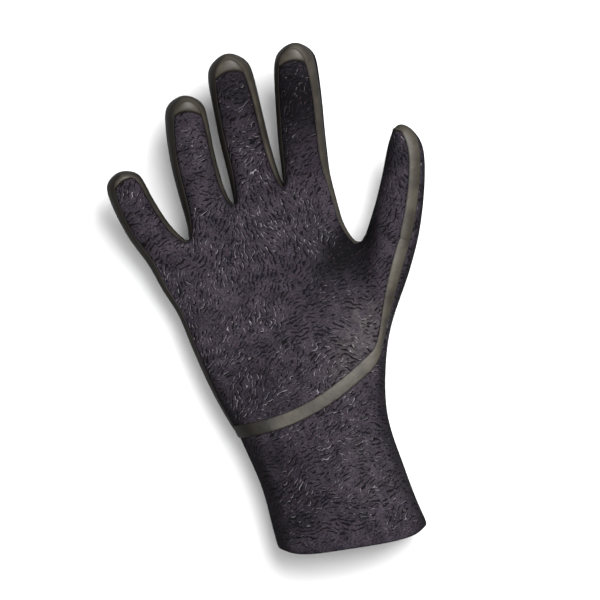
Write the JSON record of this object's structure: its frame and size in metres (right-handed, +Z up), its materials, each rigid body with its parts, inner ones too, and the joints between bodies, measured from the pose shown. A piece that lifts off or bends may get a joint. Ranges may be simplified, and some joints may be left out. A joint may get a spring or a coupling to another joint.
{
  "type": "diving glove",
  "caption": "Right-hand neoprene diving glove with separate fingers and a long plain cuff, lying palm up, with welded rubber bands over its seams.",
  "frame": {"origin": "middle of the glove's outline, on the surface that it lies on", "axes": "+X towards the thumb's side, +Y from the cuff to the fingertips, +Z up out of the palm"},
  "size_m": [0.1698, 0.2756, 0.0497],
  "materials": {
    "neoprene_jersey": "black jersey over foam rubber, with a fine embossed pattern of short wavy grooves",
    "seam_rubber": "smooth half-gloss welded rubber, olive grey"
  },
  "bodies": {
    "root": {"palm_panel": "neoprene_jersey", "back_panel": "neoprene_jersey", "knuckle_panel": "neoprene_jersey", "finger_seam_band": "seam_rubber", "thumb_seam_band": "seam_rubber", "heel_seam_band": "seam_rubber", "back_seam_band": "seam_rubber"}
  },
  "joints": []
}
